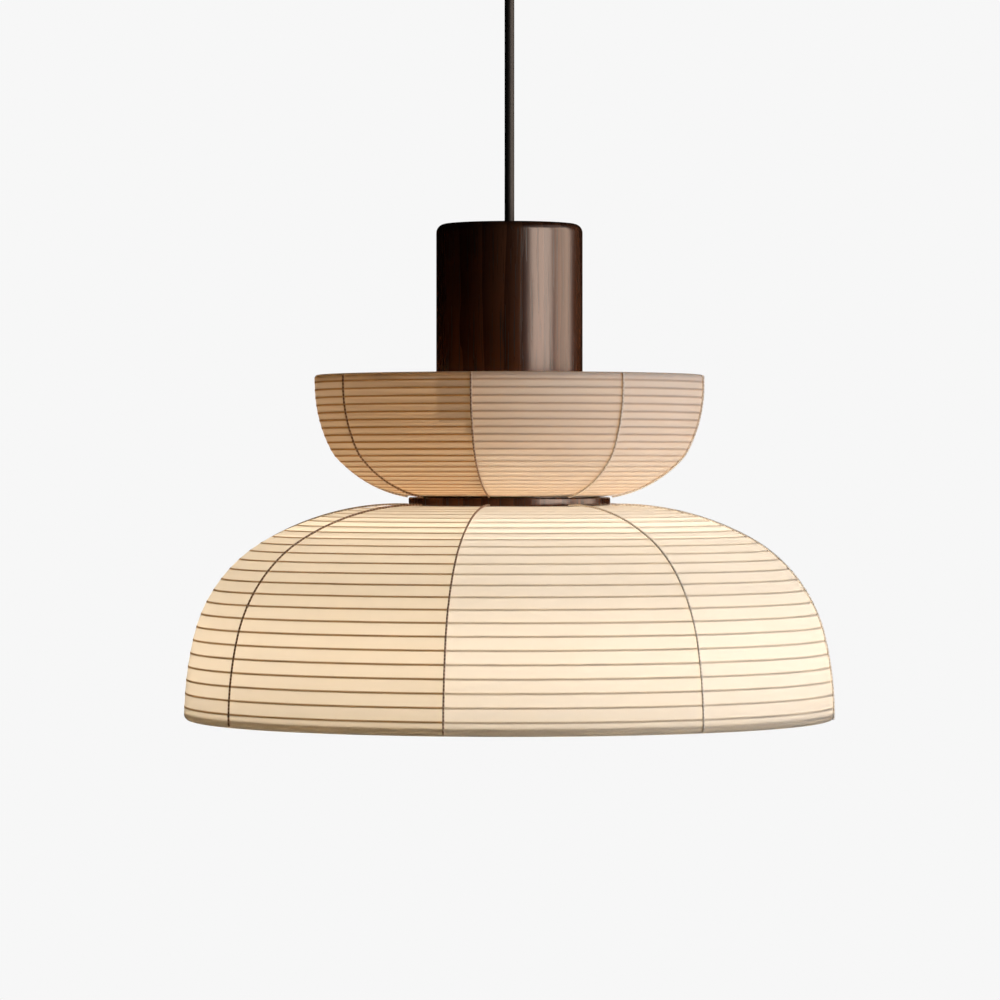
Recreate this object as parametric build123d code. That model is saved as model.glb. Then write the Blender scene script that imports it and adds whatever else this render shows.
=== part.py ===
from build123d import *
from math import acos, asin, cos, radians, sin, sqrt, tan
import os

# Pendant ceiling light. A turned walnut head on a black cord carries a walnut ring.
# A paper bowl stands on the ring and a wide paper dome hangs under it, round one bulb.
# Millimetres, +Z up. The origin is the middle of the face that lies on the ceiling.

# Fits
SLIP = 0.05  # a thread or a turned spigot in its hole, on the radius
LAY = 0.15  # paper, wire and thread lying on each other
RUN = 0.3  # pieces that move past each other

# Ceiling cup and the bracket inside it
CUP_R = 55.0
CUP_H = 24.0
CUP_WALL = 1.2
CUP_EDGE = 3.0
BRACKET_W = 18.0
BRACKET_T = 2.0
SLOT_SPACING = 60.0
SLOT_W = 4.5
SLOT_L = 14.0
EAR_W = 12.0
EAR_H = 14.0
CUP_SCREW_R = 2.0
CUP_SCREW_L = 9.0
CUP_SCREW_DOWN = 8.0
CUP_SCREW_PLAY = 0.3

# Terminal block on the bracket's tongue
BLOCK_W = 20.0
BLOCK_D = 16.0
BLOCK_H = 11.0
BLOCK_Y = 28.0
TONGUE_W = 16.0
POLE_SPACING = 10.0
LEAD_R = 0.9
LEAD_APART = 2.4
LEAD_IN = 3.0
TERMINAL_SCREW_R = 1.5
TERMINAL_SCREW_L = 4.0

# Cord and the gland that holds it in the cup
CORD_R = 3.0
CORD_FREE = 140.0
GLAND_R = 7.5
GLAND_L = 14.0
GLAND_EDGE = 1.5
NIPPLE_R = 5.0
NIPPLE_UP = 9.0
NUT_ACROSS = 14.0
NUT_H = 4.0
CLAMP_SCREW_R = 1.5
CLAMP_SCREW_DOWN = 4.0
PIVOT_UP = 5.0
SWAY = 12.0
CORD_NECK_L = 6.0
STUB_UP = 2.0

# Walnut head
HEAD_R = 45.0
HEAD_L = 120.0
HEAD_EDGE = 5.5
HEAD_WALL = 7.0
HEAD_TOP = 18.0
RECESS_R = 10.0
RECESS_DEEP = 5.0
BUSH_T = 1.4
BUSH_SLEEVE_L = 10.0
TUBE_BORE_R = 4.0
WASHER_R = 12.0
WASHER_T = 1.5
STOP_R = 4.8
STOP_L = 7.0

# Lampholder
HOLDER_R = 20.0
HOLDER_WALL = 3.0
HOLDER_DROP = 12.0
HOLDER_SKIRT_L = 27.0
HOLDER_CAP_L = 31.0
HOLDER_ROOF = 6.0
SPIGOT_L = 5.0
SPIGOT_STEP = 1.2
CORE_FLANGE_T = 3.0
CORE_L = 8.0
SHELL_L = 22.0
SHELL_WALL = 1.0
CLAMP_RING_R = 27.0
CLAMP_RING_H = 6.0
TERMINAL_X = 9.0
TERMINAL_SIZE = 5.0
TERMINAL_FLOOR = 1.0
LEAF_W = 5.0
LEAF_T = 0.6
LEAF_DROP = 3.2

# Edison thread, 27 mm
THREAD_PITCH = 3.629
THREAD_R = 12.0
THREAD_ROUND = 1.2
THREAD_TURNS = 3.5
THREAD_CORE_R = 12.2
THREAD_PLAY = 0.4

# Opal bulb
BULB_R = 30.0
BULB_L = 108.0
BULB_NECK_R = 13.5
BULB_GLASS = 1.0
CAP_SKIRT_WALL = 0.7
CAP_SKIRT_L = 4.0
CAP_THREAD_L = 17.0
BUTTON_R = 4.5
BUTTON_H = 2.5
BASE_TOP_R = 5.5
BASE_BOTTOM_R = 11.0
BASE_H = 4.5
STEM_R = 4.0
STEM_L = 42.0
FILAMENT_R = 1.0
FILAMENT_L = 26.0
FILAMENT_OUT = 5.0
FILAMENTS = 4

# Walnut ring and the wire spider that hangs it from the head
RING_R = 62.0
RING_T = 5.0
RING_DROP = 48.0
RING_EDGE = 1.0
NECK_INSET = 4.0
COLLAR_W = 9.5
COLLAR_PLAY = 1.0
PLATE_INSET = 1.5
PLATE_T = 2.0
ARMS = 3
ARM_R = 2.0
ARM_BEND = 6.0
ARM_PAST_BULB = 4.0
FOOT_T = 1.5
FOOT_R = 4.6
WELD = 0.3
CLIP_T = 1.2
CLIP_W = 10.0
CLIP_PLAY = 0.6
CLIPS = 3
SCREW_R = 1.5
SCREW_L = 7.0

# Paper shades, eight gores each, over closed ribs of split bamboo
PAPER_T = 0.5
GORES = 8
SEAM_AT = -11.0
SEAM_R = 0.6
SEAM_SHORT = 2.0
RIB_W = 1.2
NECK_WIRE_R = 1.5

# Lower dome: wall, shoulder and crown arcs, the wall's radius following from the height
DOME_R = 200.0
DOME_H = 131.0
DOME_STRAIGHT = 1.0
DOME_WALL_TURN = 13.6
DOME_SHOULDER_R = 91.0
DOME_SHOULDER_TURN = 61.9
DOME_CROWN_R = 169.4
DOME_RIM_WIRE_R = 2.5
DOME_SPACES = 27

# Upper bowl, the same section upside down
BOWL_R = 120.0
BOWL_H = 75.0
BOWL_STRAIGHT = 4.6
BOWL_WALL_TURN = 27.3
BOWL_SHOULDER_R = 25.9
BOWL_SHOULDER_TURN = 43.8
BOWL_CROWN_R = 75.5
BOWL_RIM_WIRE_R = 1.5
BOWL_SPACES = 23

# Heights that follow from the sizes above
CUP_FLOOR = -CUP_H + CUP_WALL
GLAND_MOUTH = -CUP_H - GLAND_L
PIVOT_Z = GLAND_MOUTH + PIVOT_UP
NIPPLE_TOP = CUP_FLOOR + NIPPLE_UP
STUB_TOP = NIPPLE_TOP + STUB_UP
HEAD_Z = GLAND_MOUTH - CORD_FREE
HEAD_END = HEAD_Z - HEAD_L
RING_Z = HEAD_END - RING_DROP
RING_END = RING_Z - RING_T
HOLDER_MOUTH = HEAD_END - HOLDER_DROP
HOLDER_SPLIT = HOLDER_MOUTH + HOLDER_SKIRT_L
HOLDER_TOP = HOLDER_SPLIT + HOLDER_CAP_L
ROOF_Z = HOLDER_TOP - HOLDER_ROOF
CORE_SEAT = HOLDER_SPLIT + SPIGOT_L
CORE_TOP = CORE_SEAT + CORE_FLANGE_T
CORE_END = CORE_SEAT - CORE_L
NUT_SEAT = HEAD_Z - RECESS_DEEP
TUBE_TOP = NUT_SEAT + NUT_H
HEAD_ROOF = HEAD_Z - HEAD_TOP
CORD_END = ROOF_Z - STOP_L - LEAD_R
BULB_TIP = CORE_END - LEAF_DROP - RUN
THREAD_LOW = BULB_TIP - BUTTON_H - BASE_H - CAP_THREAD_L + THREAD_ROUND + SLIP

# Radii that follow
HOLDER_BORE = HOLDER_R - HOLDER_WALL
SPIGOT_R = HOLDER_R - SPIGOT_STEP
NECK_R = RING_R - NECK_INSET
COLLAR_R = NECK_R - NECK_WIRE_R - COLLAR_PLAY
RING_BORE = COLLAR_R - COLLAR_W
SCREW_AT = RING_BORE + COLLAR_W / 2
ARM_AT = BULB_R + ARM_PAST_BULB + ARM_R
CUP_IN = CUP_R - CUP_WALL


def post(radius, low, high):
    """An upright cylinder on the axis."""
    return Pos(0, 0, low) * Cylinder(radius, high - low, align=(Align.CENTER, Align.CENTER, Align.MIN))


def pipe(outer, inner, low, high):
    """An upright tube on the axis."""
    return post(outer, low, high) - post(inner, low, high)


def turned(*section):
    """A solid turned about the axis from its half section of (radius, height) points."""
    outline = Polyline(*[(r, 0, z) for r, z in section], close=True)
    return revolve(make_face(outline.edges()), Axis.Z)


def nut(across, bore, low, high):
    """A hexagon nut on the axis."""
    blank = extrude(RegularPolygon(across / 2, 6, major_radius=False), high - low)
    return Pos(0, 0, low) * blank - post(bore, low, high)


def pan_screw(shank, length):
    """A cross-head screw: the head's seat at z = 0, the shank below it."""
    head, high = 1.9 * shank, 1.2 * shank
    body = turned((0, -length), (shank, -length + shank), (shank, 0), (head, 0),
                  (head, high / 2), (0.65 * head, high), (0, high))
    slot = Pos(0, 0, high) * Box(1.2 * head, 0.25 * head, high)
    return body - slot - Rot(0, 0, 90) * slot


def around(shape, count, start=0.0):
    """Copies of a shape spread evenly about the axis."""
    return [Rot(0, 0, start + 360 * i / count) * shape for i in range(count)]


def wire(radius, path):
    """A round wire along a path."""
    return sweep(Plane(origin=path @ 0, z_dir=path % 0) * Circle(radius), path=path)


def save(name, *shapes):
    """One file per node, with its separate solids side by side."""
    solids = [solid for shape in shapes for solid in shape.solids()]
    export_step(solids[0] if len(solids) == 1 else Compound(children=solids), f"parts/{name}.step")


def make_ceiling_rose():
    """The cup on the ceiling, its bracket, the cord gland and the wiring inside."""
    ear_x = sqrt(CUP_IN**2 - (BRACKET_W / 2)**2) - LAY
    strap = Pos(0, 0, -BRACKET_T / 2) * Box(2 * ear_x, BRACKET_W, BRACKET_T)
    tongue_l = BLOCK_Y + BLOCK_D / 2
    tongue = Pos(0, tongue_l / 2, -BRACKET_T / 2) * Box(TONGUE_W, tongue_l, BRACKET_T)
    ear = Pos(ear_x - BRACKET_T / 2, 0, -EAR_H / 2) * Box(BRACKET_T, EAR_W, EAR_H)
    slot = extrude(SlotOverall(SLOT_L, SLOT_W), BRACKET_T, both=True)
    cross_hole = Pos(0, 0, -CUP_SCREW_DOWN) * Rot(0, 90, 0) * Cylinder(CUP_SCREW_R + SLIP, 4 * CUP_R)
    bracket = strap + tongue + ear + Rot(0, 0, 180) * ear - cross_hole
    for side in (-1, 1):
        bracket -= Pos(side * SLOT_SPACING / 2, 0, 0) * slot
    save("ceiling_bracket", bracket)

    outer = post(CUP_R, -CUP_H, 0)
    outer = fillet(outer.edges().sort_by(Axis.Z)[0], CUP_EDGE)
    inner = post(CUP_IN, CUP_FLOOR, CUP_H)
    inner = fillet(inner.edges().sort_by(Axis.Z)[0], max(CUP_EDGE - CUP_WALL, CUP_WALL / 2))
    wide_hole = Cylinder(CUP_SCREW_R + CUP_SCREW_PLAY, 4 * CUP_R)
    wide_hole = Pos(0, 0, -CUP_SCREW_DOWN) * Rot(0, 90, 0) * wide_hole
    save("ceiling_cup", outer - inner - wide_hole - post(NIPPLE_R + SLIP, -CUP_H, 0))

    cup_screw = Pos(CUP_R, 0, -CUP_SCREW_DOWN) * Rot(0, 90, 0) * pan_screw(CUP_SCREW_R, CUP_SCREW_L)
    save("cup_screws", *around(cup_screw, 2))

    throat = CORD_R + RUN
    mouth_r = CORD_R / cos(radians(SWAY)) + PIVOT_UP * tan(radians(SWAY)) + RUN
    gland = turned((throat, NIPPLE_TOP), (NIPPLE_R, NIPPLE_TOP), (NIPPLE_R, -CUP_H), (GLAND_R, -CUP_H),
                   (GLAND_R, GLAND_MOUTH + GLAND_EDGE), (GLAND_R - GLAND_EDGE, GLAND_MOUTH),
                   (mouth_r, GLAND_MOUTH), (throat, PIVOT_Z))
    clamp_z = -CUP_H - CLAMP_SCREW_DOWN
    clamp_hole = Pos(0, -GLAND_R, clamp_z) * Rot(90, 0, 0) * Cylinder(CLAMP_SCREW_R + SLIP, 2 * GLAND_R - CORD_R)
    save("cord_gland", gland - clamp_hole)
    clamp_l = GLAND_R - CORD_R
    clamp = Pos(0, -CORD_R - LAY - clamp_l / 2, clamp_z) * Rot(90, 0, 0) * Cylinder(CLAMP_SCREW_R, clamp_l)
    clamp_slot = Pos(0, -GLAND_R - LAY, clamp_z) * Box(2 * CLAMP_SCREW_R, CLAMP_SCREW_R, CLAMP_SCREW_R / 3)
    save("clamp_screw", clamp - clamp_slot)
    save("gland_nut", nut(NUT_ACROSS, NIPPLE_R + SLIP, CUP_FLOOR, CUP_FLOOR + NUT_H))

    block = Pos(0, BLOCK_Y, -BRACKET_T - BLOCK_H / 2) * Box(BLOCK_W, BLOCK_D, BLOCK_H)
    pole_z = -BRACKET_T - BLOCK_H / 2
    block_front = BLOCK_Y - BLOCK_D / 2
    lead_hole = Rot(90, 0, 0) * Cylinder(LEAD_R + LAY, BLOCK_D)
    screw_hole = Cylinder(TERMINAL_SCREW_R + SLIP, BLOCK_H)
    terminal_screw = Rot(180, 0, 0) * pan_screw(TERMINAL_SCREW_R, TERMINAL_SCREW_L)
    terminal_screws = []
    leads = []
    for side in (-1, 1):
        pole_x = side * POLE_SPACING / 2
        block -= Pos(pole_x, block_front, pole_z) * lead_hole
        screw_y = BLOCK_Y + BLOCK_D / 4
        block -= Pos(pole_x, screw_y, pole_z - BLOCK_H / 2) * screw_hole
        terminal_screws.append(Pos(pole_x, screw_y, pole_z - BLOCK_H / 2) * terminal_screw)
        start_x = side * LEAD_APART / 2
        rise = pole_z - STUB_TOP - LAY
        route = FilletPolyline((start_x, 0, STUB_TOP + LAY), (start_x, 0, pole_z),
                               (pole_x, block_front / 2, pole_z), (pole_x, block_front + LEAD_IN, pole_z),
                               radius=[0.8 * rise, 0.8 * rise])
        leads.append(wire(LEAD_R, route))
    save("terminal_block", block)
    save("terminal_screws", *terminal_screws)
    save("cup_leads", *leads)


def make_cord():
    """The cord: clamped in the gland, a short neck that twists, and the hanging length."""
    neck_low = PIVOT_Z + CORD_R + RUN
    neck_high = neck_low + CORD_NECK_L
    save("cord_stub", post(CORD_R, neck_high + RUN, STUB_TOP))
    save("cord_neck", post(CORD_R, neck_low, neck_high))
    save("pendant_cord", post(CORD_R, CORD_END, PIVOT_Z) + Pos(0, 0, PIVOT_Z) * Sphere(CORD_R))


def make_head():
    """The walnut head on its threaded tube, with the nuts and bush that close its top."""
    head = post(HEAD_R, HEAD_END, HEAD_Z)
    head = fillet(head.edges().sort_by(Axis.Z)[-1], HEAD_EDGE)
    head -= post(HEAD_R - HEAD_WALL, HEAD_END, HEAD_ROOF)
    head -= post(RECESS_R, NUT_SEAT, HEAD_Z)
    save("walnut_head", head - post(NIPPLE_R + SLIP, HEAD_ROOF, NUT_SEAT))

    save("threaded_tube", pipe(NIPPLE_R, TUBE_BORE_R, ROOF_Z, TUBE_TOP))
    bush = post(RECESS_R - RUN, TUBE_TOP, TUBE_TOP + BUSH_T)
    bush = fillet(bush.edges().sort_by(Axis.Z)[-1], BUSH_T / 2)
    bush += post(TUBE_BORE_R - SLIP, TUBE_TOP - BUSH_SLEEVE_L, TUBE_TOP)
    save("cord_bush", bush - post(CORD_R + LAY, TUBE_TOP - BUSH_SLEEVE_L, TUBE_TOP + BUSH_T))
    washer_z = HEAD_ROOF - WASHER_T
    save("tube_washer", pipe(WASHER_R, NIPPLE_R + SLIP, washer_z, HEAD_ROOF))
    upper_nut = nut(NUT_ACROSS, NIPPLE_R + SLIP, NUT_SEAT, TUBE_TOP)
    save("tube_nuts", upper_nut, nut(NUT_ACROSS, NIPPLE_R + SLIP, washer_z - NUT_H, washer_z))
    save("cord_stop", pipe(STOP_R, CORD_R + SLIP, ROOF_Z - STOP_L, ROOF_Z))


def make_lampholder():
    """The lampholder: cap, skirt, porcelain core, screw shell, centre leaf and terminals."""
    cap = post(HOLDER_R, HOLDER_SPLIT, HOLDER_TOP) - post(NIPPLE_R + SLIP, ROOF_Z, HOLDER_TOP)
    cap = fillet(cap.edges().group_by(Axis.Z)[-1].sort_by(SortBy.RADIUS)[-1], HOLDER_WALL)
    cap_bore = HOLDER_BORE + SPIGOT_STEP / 2
    cap -= post(cap_bore, HOLDER_SPLIT, ROOF_Z)
    cap -= post(SPIGOT_R + SLIP, HOLDER_SPLIT, CORE_SEAT)
    save("holder_cap", cap)

    skirt = post(HOLDER_R, HOLDER_MOUTH, HOLDER_SPLIT) + post(SPIGOT_R, HOLDER_SPLIT, CORE_SEAT)
    save("holder_skirt", skirt - post(HOLDER_BORE, HOLDER_MOUTH, CORE_SEAT))

    core = post(HOLDER_BORE - SLIP, CORE_END, CORE_SEAT) + post(cap_bore - SLIP, CORE_SEAT, CORE_TOP)
    save("holder_core", core)

    groove_r = THREAD_ROUND + THREAD_PLAY
    shell_low = CORE_END - SHELL_L
    groove_turns = int((CORE_END - THREAD_LOW) / THREAD_PITCH) + 4
    groove_low = THREAD_LOW - 2 * THREAD_PITCH
    groove = Helix(THREAD_PITCH, groove_turns * THREAD_PITCH, THREAD_R, center=(0, 0, groove_low))
    groove_section = Plane(origin=groove @ 0, z_dir=groove % 0) * Circle(groove_r)
    shell = post(THREAD_R + groove_r + SHELL_WALL, shell_low, CORE_END)
    shell -= sweep(groove_section, path=groove, is_frenet=True)
    save("screw_shell", shell - post(THREAD_CORE_R + THREAD_PLAY, shell_low, CORE_END))

    leaf_l = 2 * BASE_BOTTOM_R - THREAD_PLAY
    foot = leaf_l / 4
    low = LEAF_T - LEAF_DROP
    leaf = Polyline((-leaf_l / 2, 0), (-foot, 0), (0, low), (foot, low), (foot, low - LEAF_T),
                    (-LEAF_T / 2, low - LEAF_T), (-foot - LEAF_T / 2, -LEAF_T), (-leaf_l / 2, -LEAF_T), close=True)
    leaf = extrude(make_face(leaf.edges()), LEAF_W / 2, both=True)
    save("centre_leaf", Pos(0, 0, CORE_END) * Rot(90, 0, 0) * leaf)

    block = Pos(0, 0, CORE_TOP + TERMINAL_SIZE / 2) * Box(TERMINAL_SIZE, TERMINAL_SIZE, TERMINAL_SIZE)
    block -= post(TERMINAL_SCREW_R + SLIP, CORE_TOP + TERMINAL_FLOOR, CORE_TOP + TERMINAL_SIZE)
    screw = Pos(0, 0, CORE_TOP + TERMINAL_SIZE) * pan_screw(TERMINAL_SCREW_R, TERMINAL_SIZE / 2)
    lead_z = CORE_TOP + TERMINAL_SIZE / 2
    fall = CORD_END - LAY - lead_z
    route = FilletPolyline((LEAD_APART / 2, 0, CORD_END - LAY), (LEAD_APART / 2, 0, lead_z),
                           (TERMINAL_X - TERMINAL_SIZE / 2, 0, lead_z), radius=0.8 * fall)
    save("holder_terminals", *around(Pos(TERMINAL_X, 0, 0) * block, 2))
    save("holder_screws", *around(Pos(TERMINAL_X, 0, 0) * screw, 2))
    save("holder_leads", *around(wire(LEAD_R, route), 2))

    plate_low = HEAD_END - PLATE_T
    clamp_ring = pipe(CLAMP_RING_R, HOLDER_R + SLIP, 0, CLAMP_RING_H)
    save("clamp_rings", Pos(0, 0, HEAD_END) * clamp_ring, Pos(0, 0, plate_low - CLAMP_RING_H) * clamp_ring)


def make_bulb():
    """The opal bulb: centre button, black base, threaded cap, glass and its filaments."""
    base_top = BULB_TIP - BUTTON_H
    base_low = base_top - BASE_H
    cap_low = base_low - CAP_THREAD_L
    skirt_low = cap_low - CAP_SKIRT_L
    button = turned((0, BULB_TIP), (BUTTON_R - BUTTON_H / 2, BULB_TIP), (BUTTON_R, BULB_TIP - BUTTON_H / 2),
                    (BUTTON_R, base_top), (0, base_top))
    save("bulb_button", button)
    save("bulb_base", turned((0, base_top), (BASE_TOP_R, base_top), (BASE_BOTTOM_R, base_low), (0, base_low)))

    ridge = Helix(THREAD_PITCH, THREAD_TURNS * THREAD_PITCH, THREAD_R, center=(0, 0, THREAD_LOW))
    ridge_section = Plane(origin=ridge @ 0, z_dir=ridge % 0) * Circle(THREAD_ROUND)
    core = post(THREAD_CORE_R, cap_low, base_low) + sweep(ridge_section, path=ridge, is_frenet=True)
    skirt_in = BULB_NECK_R + SLIP
    cap = core + pipe(skirt_in + CAP_SKIRT_WALL, skirt_in, skirt_low, cap_low)
    rim = post(skirt_in + CAP_SKIRT_WALL, cap_low, cap_low + CAP_SKIRT_WALL)
    hollow = post(THREAD_R - THREAD_ROUND, cap_low, base_low - CAP_SKIRT_WALL)
    save("bulb_cap", cap + rim - hollow)

    # The glass is a ball that runs tangent into a hollow neck curve
    ball_z = BULB_TIP - BULB_L + BULB_R
    rise = skirt_low - ball_z
    flare = (BULB_NECK_R**2 + rise**2 - BULB_R**2) / (2 * (BULB_R - BULB_NECK_R))
    turn = asin(rise / (BULB_R + flare))

    def glass_section(inset):
        ball, hollow_r, neck = BULB_R - inset, flare + inset, BULB_NECK_R - inset
        centre_r = BULB_NECK_R + flare
        touch = (ball * cos(turn), 0, ball_z + ball * sin(turn))
        middle = (centre_r - hollow_r * cos(turn / 2), 0, skirt_low - hollow_r * sin(turn / 2))
        mid_ball = (turn - radians(90)) / 2
        return Curve() + [
            ThreePointArc((0, 0, ball_z - ball), (ball * cos(mid_ball), 0, ball_z + ball * sin(mid_ball)), touch),
            ThreePointArc(touch, middle, (neck, 0, skirt_low)),
            Line((neck, 0, skirt_low), (neck, 0, cap_low - RUN)),
            Line((neck, 0, cap_low - RUN), (0, 0, cap_low - RUN)),
            Line((0, 0, cap_low - RUN), (0, 0, ball_z - ball)),
        ]

    glass = revolve(make_face(glass_section(0).edges()), Axis.Z)
    hollow = revolve(make_face(glass_section(BULB_GLASS).edges()), Axis.Z)
    save("bulb_glass", glass - hollow)

    stem_top = cap_low - RUN
    stem = turned((0, stem_top), (BULB_NECK_R - BULB_GLASS - RUN, stem_top), (STEM_R, stem_top - 2 * STEM_R),
                  (STEM_R / 2, stem_top - STEM_L), (0, stem_top - STEM_L))
    filament_low = stem_top - STEM_L - FILAMENT_L / 2
    filament = Pos(FILAMENT_OUT, 0, 0) * post(FILAMENT_R, filament_low, filament_low + FILAMENT_L)
    support_l = FILAMENT_OUT + FILAMENT_R
    support = Pos(support_l / 2, 0, stem_top - STEM_L) * Box(support_l, FILAMENT_R, FILAMENT_R)
    for piece in around(filament, FILAMENTS) + around(support, FILAMENTS):
        stem += piece
    save("filament_stem", stem)


def make_ring(dome, bowl):
    """The walnut ring, the spider that hangs it and the clips that hold both shades on it."""
    collar_low = RING_END - dome.neck_depth() - CLIP_PLAY
    collar_high = RING_Z + bowl.neck_depth() + CLIP_PLAY
    ring = pipe(RING_R, RING_BORE, RING_END, RING_Z)
    ring = fillet(ring.edges().filter_by(GeomType.CIRCLE).sort_by(SortBy.RADIUS)[-2:], RING_EDGE)
    ring += pipe(COLLAR_R, RING_BORE, collar_low, collar_high)
    step = 360 / ARMS
    pilot = Pos(SCREW_AT, 0, 0) * post(SCREW_R + SLIP, collar_high - SCREW_L, collar_high)
    under_pilot = Pos(SCREW_AT, 0, 0) * post(SCREW_R + SLIP, collar_low, collar_low + SCREW_L)
    for hole in around(pilot, ARMS) + around(pilot, CLIPS, step / 2) + around(under_pilot, CLIPS, step / 4):
        ring -= hole
    save("walnut_ring", ring)

    plate_low = HEAD_END - PLATE_T
    plate = pipe(HEAD_R - PLATE_INSET, HOLDER_R + SLIP, plate_low, HEAD_END)
    arm_z = collar_high + FOOT_T - WELD + ARM_R
    arm_end = SCREW_AT - 2 * SCREW_R - 2 * RUN
    bend = min(ARM_BEND, 0.9 * (arm_end - ARM_AT))
    route = FilletPolyline((ARM_AT, 0, plate_low + WELD), (ARM_AT, 0, arm_z), (arm_end, 0, arm_z), radius=bend)
    foot = Pos(SCREW_AT, 0, 0) * post(FOOT_R, collar_high, collar_high + FOOT_T)
    tab_l = SCREW_AT - ARM_AT - bend / 2
    foot += Pos(SCREW_AT - tab_l / 2, 0, collar_high + FOOT_T / 2) * Box(tab_l, 2 * FOOT_R, FOOT_T)
    foot -= Pos(SCREW_AT, 0, 0) * post(SCREW_R + LAY, collar_high, collar_high + FOOT_T)
    arm = wire(ARM_R, route) + foot
    spider = plate
    for piece in around(arm, ARMS):
        spider += piece
    save("wire_spider", spider)

    clip_in = RING_BORE + COLLAR_PLAY
    clip_out = NECK_R + COLLAR_PLAY
    clip = Pos((clip_in + clip_out) / 2, 0, CLIP_T / 2) * Box(clip_out - clip_in, CLIP_W, CLIP_T)
    clip -= Pos(SCREW_AT, 0, 0) * post(SCREW_R + LAY, 0, CLIP_T)
    upper = Pos(0, 0, collar_high) * clip
    lower = Pos(0, 0, collar_low - CLIP_T) * clip
    save("shade_clips", *around(upper, CLIPS, step / 2), *around(lower, CLIPS, step / 4))

    screw = pan_screw(SCREW_R, SCREW_L)
    foot_screw = Pos(SCREW_AT, 0, collar_high + FOOT_T) * screw
    clip_screw = Pos(SCREW_AT, 0, collar_high + CLIP_T) * screw
    under_screw = Pos(SCREW_AT, 0, collar_low - CLIP_T) * Rot(180, 0, 0) * screw
    screws = around(foot_screw, ARMS) + around(clip_screw, CLIPS, step / 2)
    save("ring_screws", *screws, *around(under_screw, CLIPS, step / 4))


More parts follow.
